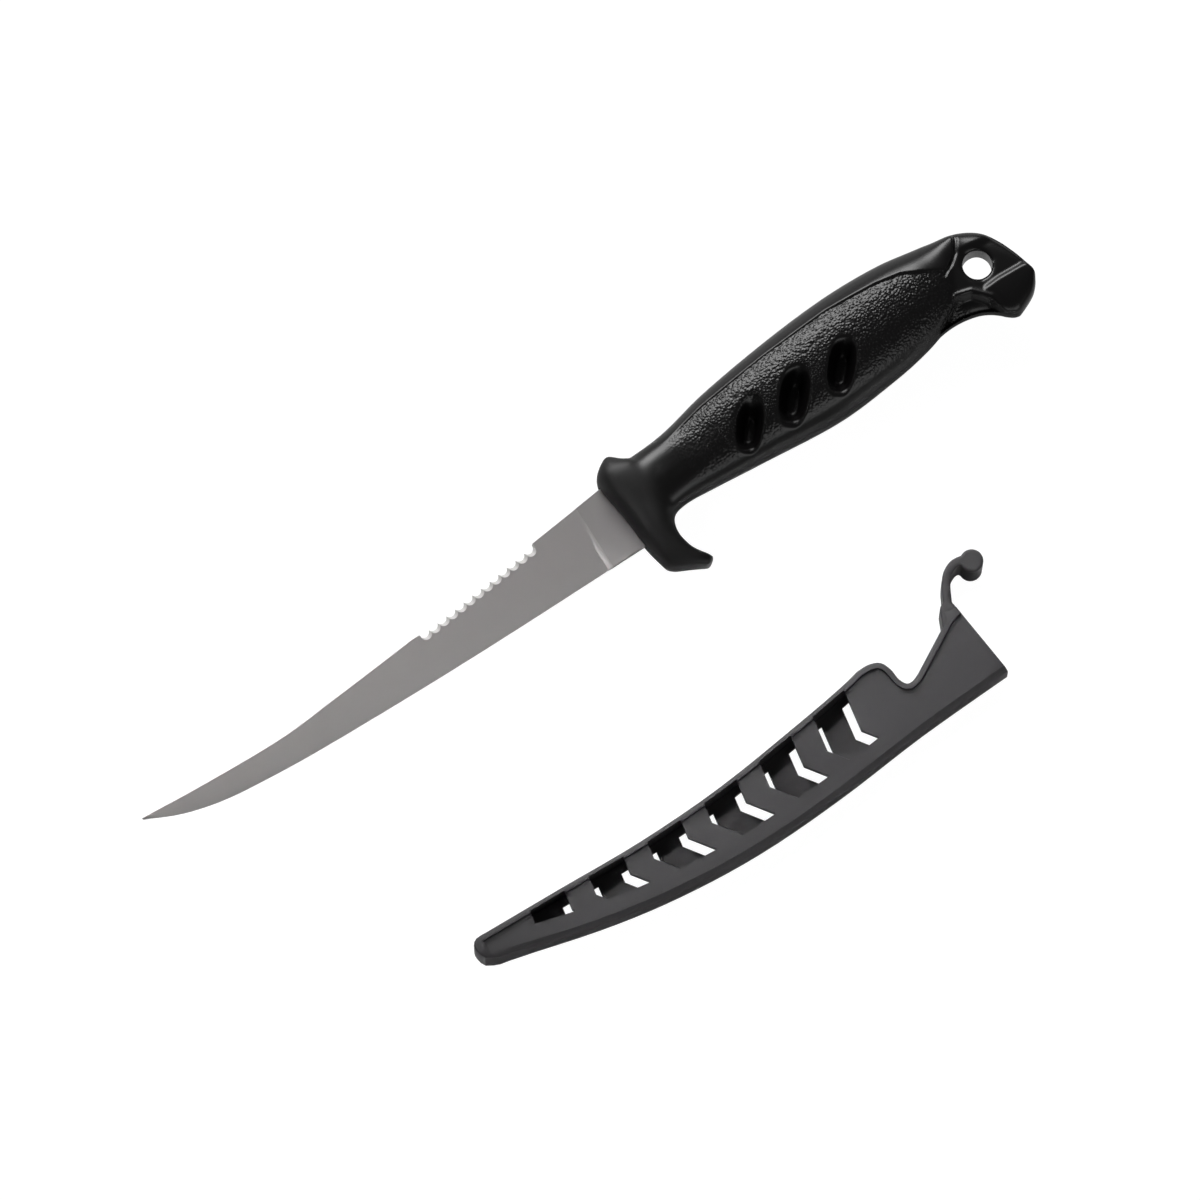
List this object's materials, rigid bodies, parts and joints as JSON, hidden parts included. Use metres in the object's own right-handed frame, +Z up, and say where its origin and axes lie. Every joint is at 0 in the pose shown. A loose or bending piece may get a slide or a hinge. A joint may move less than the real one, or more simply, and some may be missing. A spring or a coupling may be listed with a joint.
{
  "type": "fishing knife",
  "caption": "Fillet knife for fish with a slim upswept blade, scaler teeth on its back, a moulded grip with a guard, and a vented sheath with a sprung catch laid beside it.",
  "frame": {"origin": "bottom centre of the whole part's box, on the table that the knife and its sheath lie on", "axes": "+X along the knife from the point to the butt, +Y from the cutting edge to the back of the blade, +Z up, square to the blade's flat"},
  "size_m": [0.2842, 0.1192, 0.024],
  "materials": {
    "blade_steel": "satin ground stainless steel",
    "handle_plastic": "black moulded plastic, smooth with pebbled side panels",
    "sheath_plastic": "matt charcoal moulded plastic"
  },
  "bodies": {
    "knife": {"blade": "blade_steel", "handle": "handle_plastic"},
    "sheath": {"sheath": "sheath_plastic"},
    "catch": {"sheath_catch": "sheath_plastic"}
  },
  "joints": [
    {"name": "sheath_draw", "type": "slide", "parent": "knife", "child": "sheath", "axis": [1, 0, 0], "range_m": [-0.218, 0]},
    {"name": "catch_flex", "type": "hinge", "parent": "sheath", "child": "catch", "pos_m": [0.07245, -0.03041, 0.0065], "axis": [0, 0, 1], "range_deg": [0, 14], "stiffness_Nm_per_rad": 0.1}
  ]
}
